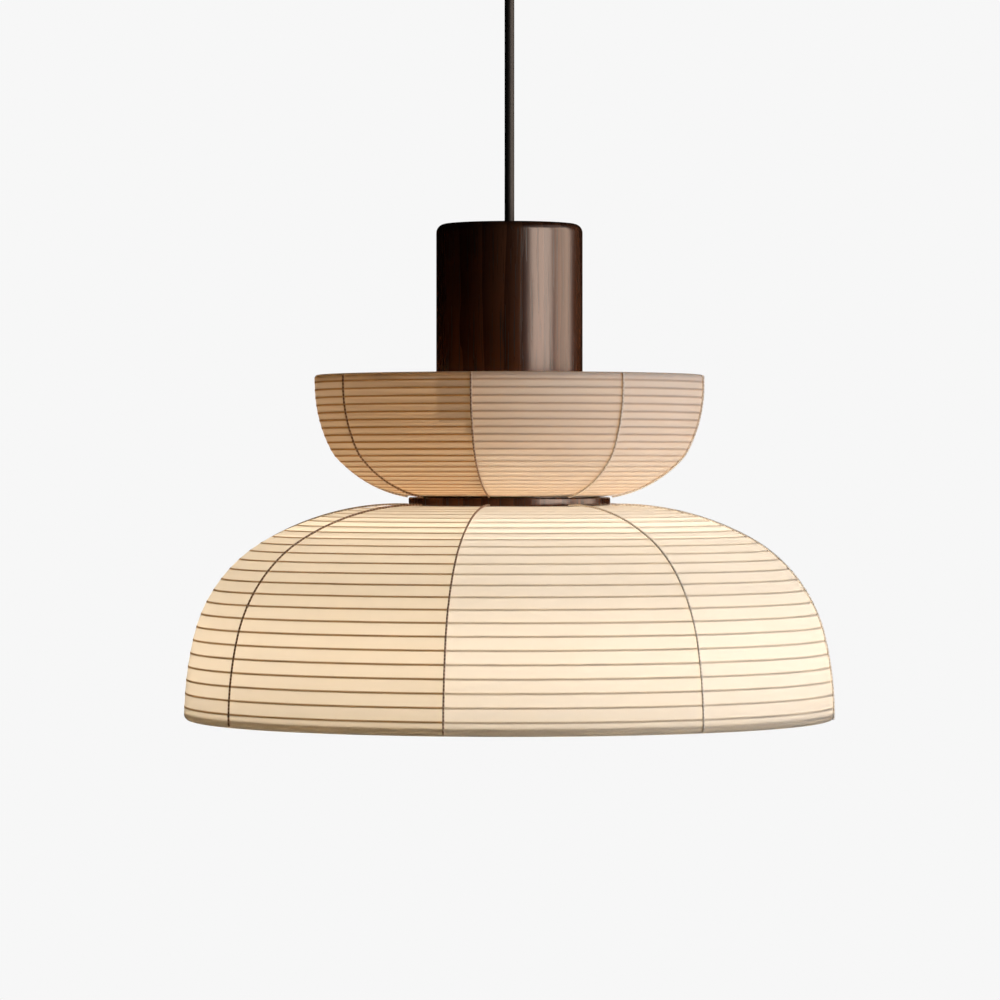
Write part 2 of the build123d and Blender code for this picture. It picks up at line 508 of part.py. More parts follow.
class Shade:
    """A paper shade: heights run from the rim's hem to the crown, which lies on the ring."""

    def __init__(self, name, rim_r, height, straight, wall_turn, shoulder_r, shoulder_turn,
                 crown_r, rim_wire_r, spaces, ring_face, way):
        self.name = name
        self.rim_r = rim_r
        self.spaces = spaces
        self.rim_wire_r = rim_wire_r
        self.way = way
        self.ring_face = ring_face
        self.hem_r = rim_wire_r + LAY + PAPER_T
        self.rim_z = ring_face - way * (height + LAY)
        self.upright = self.hem_r + straight
        wall, shoulder = radians(wall_turn), radians(shoulder_turn)
        left = height - self.upright - crown_r - (shoulder_r - crown_r) * sin(shoulder)
        wall_r = left / sin(wall) + shoulder_r
        wall_c = (rim_r - wall_r, self.upright)
        shoulder_c = self.step(wall_c, wall_r - shoulder_r, wall)
        crown_c = self.step(shoulder_c, shoulder_r - crown_r, shoulder)
        neck = acos((NECK_R - crown_c[0]) / crown_r)
        self.arcs = [(wall_c, wall_r, 0, wall), (shoulder_c, shoulder_r, wall, shoulder),
                     (crown_c, crown_r, shoulder, neck)]
        self.length = self.upright + sum(r * (end - start) for _, r, start, end in self.arcs)

    @staticmethod
    def step(point, distance, angle):
        return point[0] + distance * cos(angle), point[1] + distance * sin(angle)

    def at(self, along, inset=0.0):
        """The section's point at a length from the rim, set inwards from the paper's face."""
        if along <= self.upright:
            return self.rim_r - inset, along
        along -= self.upright
        for centre, radius, start, end in self.arcs:
            if along <= radius * (end - start) + SLIP:
                return self.step(centre, radius - inset, start + along / radius)
            along -= radius * (end - start)

    def place(self, point):
        return point[0], 0, self.rim_z + self.way * point[1]

    def neck(self):
        """The middle of the neck hoop's wire."""
        return self.at(self.length, PAPER_T + LAY + NECK_WIRE_R)

    def neck_depth(self):
        """How far the neck hoop's far side stands from the ring's face."""
        return self.way * (self.ring_face - self.place(self.neck())[2]) + NECK_WIRE_R

    def rib_marks(self):
        return [self.length * i / self.spaces for i in range(1, self.spaces)]

    def gore(self):
        """One paper gore: rolled round the rim hoop, then straight from rib to rib to the neck."""
        marks = [self.hem_r] + self.rib_marks() + [self.length]
        outside = [self.place(self.at(mark)) for mark in marks]
        inside = [self.place(self.at(mark, PAPER_T)) for mark in marks]
        hoop_r = self.rim_r - self.hem_r
        wrap_r = self.hem_r - PAPER_T
        tuck_out = self.place((hoop_r - self.hem_r, self.hem_r))
        tuck_in = self.place((hoop_r - wrap_r, self.hem_r))
        section = Curve() + [
            Polyline(*outside),
            Line(outside[-1], inside[-1]),
            Polyline(*inside),
            ThreePointArc(inside[0], self.place((hoop_r, self.hem_r - wrap_r)), tuck_in),
            Line(tuck_in, tuck_out),
            ThreePointArc(tuck_out, self.place((hoop_r, 0)), outside[0]),
        ]
        return revolve(make_face(section.edges()), Axis.Z, revolution_arc=360 / GORES)

    def seam(self):
        """A round seam cord over the joint of two gores, from under the hem to just short of the ring."""
        out = LAY + SEAM_R
        hoop_c = (self.rim_r - self.hem_r, self.hem_r)
        crown_c, crown_r, crown_start, _ = self.arcs[-1]
        crown_end = acos((RING_R + SEAM_SHORT - crown_c[0]) / (crown_r + out))
        bends = [(hoop_c, self.hem_r, radians(-90), 0), *self.arcs[:-1], (crown_c, crown_r, crown_start, crown_end)]
        run = [Line(self.place(self.at(self.hem_r, -out)), self.place(self.at(self.upright, -out)))]
        for centre, radius, start, end in bends:
            ends = [self.place(self.step(centre, radius + out, a)) for a in (start, (start + end) / 2, end)]
            run.append(ThreePointArc(*ends))
        return wire(SEAM_R, Wire(Curve() + run))

    def hoop(self, point, radius):
        return Pos(0, 0, self.place(point)[2]) * Torus(point[0], radius)

    def rib(self, mark):
        """A closed rib of square split bamboo, one face along the inside of the paper."""
        near = PAPER_T + LAY
        edges = [(-RIB_W, near), (RIB_W, near), (RIB_W, near + RIB_W), (-RIB_W, near + RIB_W)]
        corners = [self.place(self.at(mark + along / 2, inset)) for along, inset in edges]
        return revolve(make_face(Polyline(*corners, close=True)), Axis.Z)

    def make(self):
        rim = (self.rim_r - self.hem_r, self.hem_r)
        save(f"{self.name}_rim_hoop", self.hoop(rim, self.rim_wire_r))
        save(f"{self.name}_neck_hoop", self.hoop(self.neck(), NECK_WIRE_R))
        save(f"{self.name}_ribs", *[self.rib(mark) for mark in self.rib_marks()])
        save(f"{self.name}_seams", *around(self.seam(), GORES, SEAM_AT))
        for number, gore in enumerate(around(self.gore(), GORES, SEAM_AT), 1):
            save(f"{self.name}_paper_{number}", gore)


DOME = Shade("dome", DOME_R, DOME_H, DOME_STRAIGHT, DOME_WALL_TURN, DOME_SHOULDER_R, DOME_SHOULDER_TURN,
             DOME_CROWN_R, DOME_RIM_WIRE_R, DOME_SPACES, RING_END, 1)
BOWL = Shade("bowl", BOWL_R, BOWL_H, BOWL_STRAIGHT, BOWL_WALL_TURN, BOWL_SHOULDER_R, BOWL_SHOULDER_TURN,
             BOWL_CROWN_R, BOWL_RIM_WIRE_R, BOWL_SPACES, RING_Z, -1)

os.makedirs("parts", exist_ok=True)
make_ceiling_rose()
make_cord()
make_head()
make_lampholder()
make_bulb()
make_ring(DOME, BOWL)
DOME.make()
BOWL.make()
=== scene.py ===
from math import acos, asin, cos, pi, radians, sin, tan, tau

import bmesh
import bpy
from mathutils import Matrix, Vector


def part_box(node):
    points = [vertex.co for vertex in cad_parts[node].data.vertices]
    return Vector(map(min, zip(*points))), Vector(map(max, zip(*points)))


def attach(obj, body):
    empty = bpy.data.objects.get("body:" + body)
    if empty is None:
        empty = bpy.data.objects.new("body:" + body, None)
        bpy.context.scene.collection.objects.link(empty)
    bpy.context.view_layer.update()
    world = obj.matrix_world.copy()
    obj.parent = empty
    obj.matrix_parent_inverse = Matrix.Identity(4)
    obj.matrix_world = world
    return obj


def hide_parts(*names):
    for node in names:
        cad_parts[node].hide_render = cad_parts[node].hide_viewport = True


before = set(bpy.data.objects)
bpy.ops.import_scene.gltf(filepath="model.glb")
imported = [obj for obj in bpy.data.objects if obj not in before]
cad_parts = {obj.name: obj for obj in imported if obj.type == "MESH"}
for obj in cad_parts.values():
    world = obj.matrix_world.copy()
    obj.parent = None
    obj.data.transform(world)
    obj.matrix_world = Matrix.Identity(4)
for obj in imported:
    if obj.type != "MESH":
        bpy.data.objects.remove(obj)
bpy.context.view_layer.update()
MM = 0.001  # the frame is in metres; sizes in this file are written in millimetres


# The studio: a pale floor far under the hanging lamp and a bright even surround, as for a catalogue
# picture. A large soft box on the right lights the paper, two narrow ones shine in the lacquer only,
# and a black flag keeps the left side of the turned wood dark.
CAMERA_FROM = (-5.8, -2850.0, -327.5)
CAMERA_TO = (-5.8, 0.0, -347.7)
CAMERA_LENS = 166.7
CAMERA_SENSOR = 36.0
LAMP_MIDDLE = (0.0, 0.0, -350.0)
SURROUND = "#f7f7f7"
FILL = 0.02  # the strength at which the surround lights the lamp; it is seen at a strength of 1
FLAG_R = 2600.0
FLAG_FROM = 117  # bearings are in degrees to the right of the camera's side
FLAG_TO = 385
FLAG_STEP = 4
FLAG_Z = (-1780.0, 2200.0)
FLOOR_R = 9000.0
FLOOR_Z = -4500.0
FLOOR_GLOW = 0.85  # how far the floor is seen at the surround's brightness, whatever light falls on it


def linear(colour):
    """An sRGB hex colour as linear red, green, blue and alpha."""
    parts = [int(colour[i:i + 2], 16) / 255 for i in (1, 3, 5)]
    return [c / 12.92 if c <= 0.04045 else ((c + 0.055) / 1.055) ** 2.4 for c in parts] + [1.0]


def add(tree, kind, inputs=None, **settings):
    """Add a node with its settings. An input is a value, an output socket, or a node to link from."""
    node = tree.nodes.new(kind)
    for name, value in settings.items():
        setattr(node, name, value)
    for key, value in (inputs or {}).items():
        if isinstance(value, bpy.types.Node):
            value = next(socket for socket in value.outputs if socket.enabled)
        if isinstance(value, bpy.types.NodeSocket):
            tree.links.new(value, node.inputs[key])
        else:
            node.inputs[key].default_value = value
    return node


def seen_directly(tree):
    """One for a ray from the camera, a reflection or clear glass, and nought for scattered light."""
    ray = add(tree, "ShaderNodeLightPath").outputs
    seen = add(tree, "ShaderNodeMath", {0: ray["Is Camera Ray"], 1: ray["Is Glossy Ray"]},
               operation="MAXIMUM")
    # what paper scatters is both a diffuse and a transmission ray
    through = add(tree, "ShaderNodeMath", {0: ray["Is Transmission Ray"], 1: ray["Is Diffuse Ray"]},
                  operation="SUBTRACT")
    return add(tree, "ShaderNodeMath", {0: seen, 1: through}, operation="MAXIMUM")


def new_material(name):
    """An empty material and its node tree."""
    material = bpy.data.materials.new(name)
    material.use_nodes = True
    material.node_tree.nodes.clear()
    return material, material.node_tree


def new_piece(name, data):
    """An object at the origin, in the scene."""
    piece = bpy.data.objects.new(name, data)
    bpy.context.scene.collection.objects.link(piece)
    return piece


def soft_box(name, bearing, distance, height, size, power, colour, to_paper):
    """A rectangular lamp facing the pendant, either for the paper or for reflections alone."""
    light = bpy.data.lights.new(name, "AREA")
    light.shape = "RECTANGLE"
    light.size, light.size_y = size[0] * MM, size[1] * MM
    light.energy = power
    light.color = linear(colour)[:3]
    lamp = new_piece(name, light)
    turn = radians(bearing)
    lamp.location = Vector((sin(turn) * distance, -cos(turn) * distance, height)) * MM
    aim = Vector(LAMP_MIDDLE) * MM - lamp.location
    lamp.rotation_euler = aim.to_track_quat("-Z", "Y").to_euler()
    lamp.visible_camera = False
    lamp.visible_transmission = False
    lamp.visible_diffuse = to_paper
    lamp.visible_glossy = not to_paper


scene = bpy.context.scene
scene.view_settings.view_transform = "Standard"

camera = new_piece("camera", bpy.data.cameras.new("camera"))
camera.data.lens = CAMERA_LENS
camera.data.sensor_width = CAMERA_SENSOR
camera.location = Vector(CAMERA_FROM) * MM
view = Vector(CAMERA_TO) * MM - camera.location
camera.rotation_euler = view.to_track_quat("-Z", "Y").to_euler()
scene.camera = camera

scene.world = bpy.data.worlds.new("studio_surround")
scene.world.use_nodes = True
tree = scene.world.node_tree
tree.nodes.clear()
seen = seen_directly(tree)
fill = add(tree, "ShaderNodeBackground", {"Color": linear("#fffaf4"), "Strength": FILL})
bright = add(tree, "ShaderNodeBackground", {"Color": linear(SURROUND), "Strength": 1.0})
both = add(tree, "ShaderNodeMixShader", {0: seen, 1: fill, 2: bright})
add(tree, "ShaderNodeOutputWorld", {"Surface": both})

soft_box("key_soft_box", bearing=66, distance=2200, height=-250, size=(1500, 1900),
         power=35, colour="#ecf3ff", to_paper=True)
soft_box("gloss_strip_near", bearing=51, distance=1600, height=-150, size=(1050, 1500),
         power=66, colour="#ffe6d2", to_paper=False)
soft_box("gloss_strip_far", bearing=93, distance=1600, height=-150, size=(950, 1500),
         power=30, colour="#ffdcc0", to_paper=False)

form = bmesh.new()
for bearing in range(FLAG_FROM, FLAG_TO + 1, FLAG_STEP):
    turn = radians(bearing)
    for height in FLAG_Z:
        form.verts.new((sin(turn) * FLAG_R * MM, -cos(turn) * FLAG_R * MM, height * MM))
posts = list(form.verts)
for i in range(0, len(posts) - 2, 2):
    form.faces.new((posts[i], posts[i + 2], posts[i + 3], posts[i + 1]))
form.faces.new(posts[1::2])
flag = new_piece("black_flag", bpy.data.meshes.new("black_flag"))
form.to_mesh(flag.data)
form.free()
# Felt: a dull black that gives back next to nothing
black_felt, tree = new_material("black_felt")
dark = add(tree, "ShaderNodeBsdfDiffuse", {"Color": linear("#030303")})
add(tree, "ShaderNodeOutputMaterial", {"Surface": dark})
flag.data.materials.append(black_felt)
flag.visible_camera = False
flag.visible_diffuse = False
flag.visible_transmission = False
flag.visible_shadow = False

form = bmesh.new()
bmesh.ops.create_circle(form, cap_ends=True, segments=128, radius=FLOOR_R * MM)
bmesh.ops.translate(form, verts=form.verts, vec=(0, 0, FLOOR_Z * MM))
floor = new_piece("studio_floor", bpy.data.meshes.new("studio_floor"))
form.to_mesh(floor.data)
form.free()
# Matt floor paint: white, and seen mostly at the surround's brightness
painted_floor, tree = new_material("matt_white_floor")
share = add(tree, "ShaderNodeMath", {0: seen_directly(tree), 1: FLOOR_GLOW}, operation="MULTIPLY")
lit = add(tree, "ShaderNodeBsdfDiffuse", {"Color": linear("#f4f3f1")})
glow = add(tree, "ShaderNodeEmission", {"Color": linear(SURROUND), "Strength": 1.0})
both = add(tree, "ShaderNodeMixShader", {0: share, 1: lit, 2: glow})
add(tree, "ShaderNodeOutputMaterial", {"Surface": both})
floor.data.materials.append(painted_floor)


# The cord: one round black PVC mains cord, pulled straight by the lamp's weight. It comes out of the
# gland under the ceiling cup, goes down through the head's threaded tube and ends in the lampholder.
CORD_R = 3.0
GLAND_MOUTH = -38.0
CORD_ROUTE = [(0, 0, -33.0), (0, 0, -80.0), (0, 0, -180.0), (0, 0, -265.9)]


def plain_finish(name, dark, light, grain, roughness, relief, stretch=(1, 1, 1), **sockets):
    """A finish whose colour, gloss and relief follow one noise. Grain and relief are in millimetres."""
    material, tree = new_material(name)
    place = add(tree, "ShaderNodeTexCoord").outputs["Object"]
    place = add(tree, "ShaderNodeMapping", {"Vector": place, "Scale": stretch})
    noise = add(tree, "ShaderNodeTexNoise", {"Vector": place, "Scale": 1 / (grain * MM), "Detail": 4.0,
                                             "Roughness": 0.6})
    even = add(tree, "ShaderNodeMapRange", {"Value": noise, "From Min": 0.3, "From Max": 0.7})
    colour = add(tree, "ShaderNodeMix", {0: even, 6: linear(dark), 7: linear(light)}, data_type="RGBA")
    gloss = add(tree, "ShaderNodeMapRange", {"Value": noise, "To Min": roughness[0],
                                             "To Max": roughness[1]})
    bump = add(tree, "ShaderNodeBump", {"Height": noise, "Strength": 1.0, "Distance": relief * MM})
    surface = add(tree, "ShaderNodeBsdfPrincipled", {"Base Color": colour, "Roughness": gloss,
                                                     "Normal": bump, **sockets})
    add(tree, "ShaderNodeOutputMaterial", {"Surface": surface})
    return material


def dress(material, *nodes):
    """Give CAD nodes, whose shape is already right, their finish."""
    for node in nodes:
        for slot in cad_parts[node].material_slots:
            slot.material = material


# Extruded PVC: deep black with a soft sheen, a little uneven along its length
black_pvc = plain_finish("extruded_black_pvc", "#0a0a0b", "#161617", grain=3.0, roughness=(0.5, 0.62),
                         relief=0.02, stretch=(1, 1, 0.2), **{"Specular IOR Level": 0.2})

line = bpy.data.curves.new("hanging_cord", "CURVE")
line.dimensions = "3D"
line.bevel_depth = CORD_R * MM
line.bevel_resolution = 6
line.use_fill_caps = True
spline = line.splines.new("NURBS")
spline.points.add(len(CORD_ROUTE) - 1)
for point, place in zip(spline.points, CORD_ROUTE):
    point.co = (*[MM * value for value in place], 1.0)
spline.order_u = 3
spline.use_endpoint_u = True
line.materials.append(black_pvc)
cord = new_piece("hanging_cord", line)
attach(cord, "pendant")
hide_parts("pendant_cord")
dress(black_pvc, "cord_neck", "cord_stub")


# The ceiling rose: a spun steel cup over a zinc-plated bracket, with a turned gland that grips the
# cord. The cup and gland are powder coated black. The terminal block inside joins the leads.
CUP_R = 55.0
CUP_H = 24.0
CUP_WALL = 1.2
CUP_EDGE = 3.0
GLAND_R = 7.5
GLAND_TOP = -13.8
GLAND_THROAT = 3.3
GLAND_MOUTH_R = 4.4
GLAND_EDGE = 1.5
GLAND_LIP = 0.3
THREAD_R = 5.0
THREAD_EDGE = 0.4
SWAY_PIVOT = -33.0


def rounded(corners, steps=8):
    """A closed outline through (radius, height, edge) corners, each turned to its edge radius."""
    points = []
    for i, (r, z, edge) in enumerate(corners):
        if not edge:
            points.append((r, z))
            continue
        here = Vector((r, z))
        back = (Vector(corners[i - 1][:2]) - here).normalized()
        ahead = (Vector(corners[(i + 1) % len(corners)][:2]) - here).normalized()
        half = back.angle(ahead) / 2
        centre = here + (back + ahead).normalized() * edge / sin(half)
        first = here + back * edge / tan(half) - centre
        last = here + ahead * edge / tan(half) - centre
        for step in range(steps + 1):
            spoke = first.slerp(last, step / steps)
            points.append(tuple(centre + spoke.normalized() * edge))
    return points


def turn_piece(name, outline, material, steps=144):
    """A closed piece turned about the Z axis from an outline of (radius, height) points."""
    form = bmesh.new()
    ring = [form.verts.new((r * MM, 0, z * MM)) for r, z in outline]
    edges = [form.edges.new(pair) for pair in zip(ring, ring[1:] + ring[:1])]
    bmesh.ops.spin(form, geom=ring + edges, axis=(0, 0, 1), cent=(0, 0, 0), angle=tau, steps=steps)
    bmesh.ops.remove_doubles(form, verts=form.verts, dist=0.001 * MM)
    bmesh.ops.recalc_face_normals(form, faces=form.faces)
    mesh = bpy.data.meshes.new(name)
    form.to_mesh(mesh)
    form.free()
    mesh.shade_smooth()
    mesh.set_sharp_from_angle(angle=radians(40))
    mesh.materials.append(material)
    return new_piece(name, mesh)


# Powder coat: soft black with the fine orange peel of baked powder
powder_coat = plain_finish("black_powder_coat", "#0b0b0c", "#191919", grain=0.8, roughness=(0.46, 0.6),
                           relief=0.03, **{"Specular IOR Level": 0.25})
# Zinc plate: pale blue-grey metal, slightly cloudy
zinc = plain_finish("zinc_plated_steel", "#8f949a", "#c4c7ca", grain=2.0, roughness=(0.26, 0.42),
                    relief=0.005, Metallic=1.0)
# Moulded polyamide: off-white and faintly waxy
white_nylon = plain_finish("moulded_white_polyamide", "#dcd9d0", "#efede6", grain=1.5,
                           roughness=(0.4, 0.55), relief=0.01)
# Silicone sleeve on the leads: matt reddish brown
silicone = plain_finish("brown_silicone_sleeve", "#4a2415", "#663521", grain=1.0, roughness=(0.5, 0.65),
                        relief=0.01)

cup_outline = rounded([(CUP_R, 0, 0), (CUP_R, -CUP_H, CUP_EDGE), (THREAD_R, -CUP_H, 0),
                       (THREAD_R, CUP_WALL - CUP_H, 0),
                       (CUP_R - CUP_WALL, CUP_WALL - CUP_H, CUP_EDGE - CUP_WALL),
                       (CUP_R - CUP_WALL, 0, 0)])
cup = turn_piece("spun_cup", cup_outline, powder_coat)
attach(cup, "ceiling_rose")
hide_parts("ceiling_cup")

gland_outline = rounded([(GLAND_THROAT, GLAND_TOP, 0), (THREAD_R, GLAND_TOP, THREAD_EDGE),
                         (THREAD_R, -CUP_H, 0), (GLAND_R, -CUP_H, GLAND_LIP),
                         (GLAND_R, GLAND_MOUTH, GLAND_EDGE), (GLAND_MOUTH_R, GLAND_MOUTH, GLAND_LIP),
                         (GLAND_THROAT, SWAY_PIVOT, 0)])
gland = turn_piece("turned_gland", gland_outline, powder_coat, steps=96)
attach(gland, "ceiling_rose")
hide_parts("cord_gland")

dress(powder_coat, "cup_screws")
dress(zinc, "ceiling_bracket", "clamp_screw", "gland_nut", "terminal_screws")
dress(white_nylon, "terminal_block")
dress(silicone, "cup_leads")


# The head and the ring: turned from dark walnut along the grain, stained nearly black and finished in
# satin lacquer. The head is bored out for the lampholder; the ring's collars take the shades' necks.
HEAD_WALL = 7.0
HEAD_EDGE = 5.5
HEAD_ROOF = 18.0
BORE_EDGE = 2.0
RECESS_R = 10.0
RECESS_DEEP = 5.0
SMALL_EDGE = 0.8
RING_R = 62.0
RING_Z = (-346.0, -351.0)
RING_EDGE = 1.0
RING_BORE = 46.0
COLLAR_R = 55.5
PITH = (70.0, 35.0, 0.0)  # from the tree's middle to the piece's axis
WARP = 25.0
WARP_BY = 12.0
GRAIN_LONG = 10.0  # how much longer the figure is along the grain than across it
GROWTH_RING = 1.9
PORE = 0.35
PORE_LONG = 14.0
PORE_ROOM = 3.0  # one cell of the noise is this many pores wide

# Stained walnut, turned along the grain: dark upright growth bands and short open pores, with the long
# clean highlight of a satin lacquer over both
walnut, tree = new_material("lacquered_stained_walnut")
place = add(tree, "ShaderNodeTexCoord").outputs["Object"]
board = add(tree, "ShaderNodeMapping", {"Vector": place, "Location": Vector(PITH) * MM,
                                        "Scale": (1, 1, 1 / GRAIN_LONG)})
warp = add(tree, "ShaderNodeTexNoise", {"Vector": board, "Scale": 1 / (WARP * MM), "Detail": 3.0})
bent = add(tree, "ShaderNodeVectorMath", {0: warp.outputs["Color"], 1: (WARP_BY * MM, WARP_BY * MM, 0),
                                          2: board}, operation="MULTIPLY_ADD")
band_scale = 1 / (20 * GROWTH_RING * MM)  # a wave texture repeats twenty to its unit
bands = add(tree, "ShaderNodeTexWave", {"Vector": bent, "Scale": band_scale, "Distortion": 2.5,
                                        "Detail": 3.0, "Detail Scale": 2.0},
            wave_type="RINGS", rings_direction="Z", wave_profile="SAW")
long_way = add(tree, "ShaderNodeMapping", {"Vector": place, "Scale": (1, 1, PORE / PORE_LONG)})
pores = add(tree, "ShaderNodeTexNoise", {"Vector": long_way, "Scale": 1 / (PORE * PORE_ROOM * MM),
                                         "Detail": 2.0})
open_pores = add(tree, "ShaderNodeMapRange", {"Value": pores, "From Min": 0.56, "From Max": 0.7})
heart = add(tree, "ShaderNodeMix", {0: bands, 6: linear("#3a1f13"), 7: linear("#563421")},
            data_type="RGBA")
grain = add(tree, "ShaderNodeMix", {0: open_pores, 6: heart, 7: linear("#150804")}, data_type="RGBA")
gloss = add(tree, "ShaderNodeMapRange", {"Value": open_pores, "To Min": 0.2, "To Max": 0.36})
bump = add(tree, "ShaderNodeBump", {"Height": open_pores, "Strength": 0.5, "Distance": -0.03 * MM})
surface = add(tree, "ShaderNodeBsdfPrincipled", {"Base Color": grain, "Roughness": gloss, "Normal": bump,
                                                 "Specular IOR Level": 0.3})
add(tree, "ShaderNodeOutputMaterial", {"Surface": surface})

head_low, head_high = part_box("walnut_head")
head_r, head_top, head_end = head_high.x / MM, head_high.z / MM, head_low.z / MM
head_outline = rounded([(head_r - HEAD_WALL, head_end, SMALL_EDGE), (head_r, head_end, SMALL_EDGE),
                        (head_r, head_top, HEAD_EDGE), (RECESS_R, head_top, SMALL_EDGE),
                        (RECESS_R, head_top - RECESS_DEEP, 0), (THREAD_R, head_top - RECESS_DEEP, 0),
                        (THREAD_R, head_top - HEAD_ROOF, 0),
                        (head_r - HEAD_WALL, head_top - HEAD_ROOF, BORE_EDGE)])
head = turn_piece("turned_head", head_outline, walnut, steps=192)
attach(head, "pendant")
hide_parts("walnut_head")

ring_low, ring_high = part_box("walnut_ring")
ring_end, ring_top = ring_low.z / MM, ring_high.z / MM
ring_outline = rounded([(RING_BORE, ring_end, SMALL_EDGE), (COLLAR_R, ring_end, SMALL_EDGE),
                        (COLLAR_R, RING_Z[1], 0), (RING_R, RING_Z[1], RING_EDGE),
                        (RING_R, RING_Z[0], RING_EDGE), (COLLAR_R, RING_Z[0], 0),
                        (COLLAR_R, ring_top, SMALL_EDGE), (RING_BORE, ring_top, SMALL_EDGE)])
ring = turn_piece("turned_ring", ring_outline, walnut, steps=192)
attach(ring, "pendant")
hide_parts("walnut_ring")


# The fittings in the head: an M10 steel tube with its nuts and washer, a black bush where the cord goes
# in, and the sleeve that stops the cord from pulling out.

# Moulded phenolic: black, smooth, with a faint flow pattern
phenolic = plain_finish("moulded_black_phenolic", "#0d0c0b", "#1a1816", grain=4.0, roughness=(0.3, 0.45),
                        relief=0.01)
dress(zinc, "threaded_tube", "tube_nuts", "tube_washer")
dress(phenolic, "cord_bush", "cord_stop")


# The lampholder: a two-part black phenolic shell with a glazed porcelain core, a brass screw shell and
# leaf, and brass terminals. Two threaded clamp rings on its skirt hold the spider's plate.

# Glazed porcelain: clean white under a clear hard glaze
porcelain = plain_finish("glazed_porcelain", "#e3e0d8", "#f1efe9", grain=5.0, roughness=(0.12, 0.2),
                         relief=0.01, **{"Coat Weight": 0.6, "Coat Roughness": 0.08})
# Drawn brass: warm yellow, lightly brushed by the press tools
brass = plain_finish("drawn_brass", "#9a6b2a", "#caa050", grain=1.2, roughness=(0.22, 0.36),
                     relief=0.005, Metallic=1.0)
dress(phenolic, "holder_cap", "holder_skirt", "clamp_rings")
dress(porcelain, "holder_core")
dress(brass, "screw_shell", "centre_leaf", "holder_terminals")
dress(zinc, "holder_screws")
dress(silicone, "holder_leads")


# The spider and clips: a steel plate with three bent wire arms, powder coated black, screwed down on
# the ring's collar. Plated clips on both collars hold the neck hoops of the two shades.
dress(powder_coat, "wire_spider")
dress(zinc, "shade_clips", "ring_screws")


# The shades: eight gores of pale mulberry paper on closed bamboo ribs, a wide dome under the ring and a
# small bowl above it, with a cord over each seam. The paper is rolled round a hoop at the rim and runs in
# under the ring. Gores differ in tint, which is partly painted shade, deep on the side turned from the
# key soft box; in how clear they are; and in how strongly their ribs show, with painted rib shadows.
PAPER = 0.25
HEM_WRAP = 0.65
NECK_R = 58.0
GORES = 8
# painted shade: the seed is picked so that the gores turned from the key soft box come out deep and those
# facing it pale
GORE_TINT_AND_SHADE_SEED = 82
GORE_COLUMNS = 24
SAG = 0.22
DRAWN_IN = 0.004  # a share of the radius
RIB_R = 0.6
RIB_GAP = 0.05
SEAM_R = 0.6
SEAM_GAP = 0.15
SEAM_AT = -11.0  # degrees round from the right-hand side
SEAM_FROM = 150.0  # degrees round the hem
SEAM_SHORT = 6.0
SEAM_TWIST = 2.2
LINE_SIDES = 8
WELD = 0.01
FIBRE = 2.2
CLOUD = 30.0
BAMBOO_GRAIN = 1.2
PAPER_FACE = ("#f7f1e6", "#efe4d2")  # of the palest gore and of the deepest
PAPER_LIT = ("#fcf7ee", "#f5ecda")
# painted rib shadows, partly glue stain: the colour along the ribs on the paper's face, and in its glow
RIB_STAIN_AND_SHADOW = "#8a5526"
RIB_STAIN_AND_SHADOW_LIT = "#c8aa82"
INNER_THROUGH = 0.5
INNER_CLEAR = (0.75, 0.75)

# Each section runs from the rim to the neck: an upright, then wall, shoulder and crown as tangent arcs,
# with their turns in degrees. Then come the rib spaces, the rows of the mesh, and the paper and bamboo,
# with the least strength of the painted rib shadows, which are partly glue stain.
SHADES = {
    "dome": {
        "way": 1, "height": 131.0, "straight": 1.0, "wall_turn": 13.6,
        "shoulder_r": 91.0, "shoulder_turn": 61.9, "crown_r": 169.4, "spaces": 27, "rows": 176,
        "through": 0.67, "lit": PAPER_LIT, "clear": (0.05, 0.12), "gaps": "#fff8ec",
        "inside": "#a7a299", "least_rib_stain_and_shadow": 0.05, "bamboo": (0.98, "#fffaf0"),
    },
    "bowl": {
        "way": -1, "height": 75.0, "straight": 4.6, "wall_turn": 27.3,
        "shoulder_r": 25.9, "shoulder_turn": 43.8, "crown_r": 75.5, "spaces": 23, "rows": 138,
        "through": 0.36, "lit": ("#fcf7ee", "#ecdabc"), "clear": (0.1, 0.48), "gaps": "#d6cec1",
        "inside": "#f4efe6", "least_rib_stain_and_shadow": 0.3, "bamboo": (0.88, "#faeed8"),
    },
}


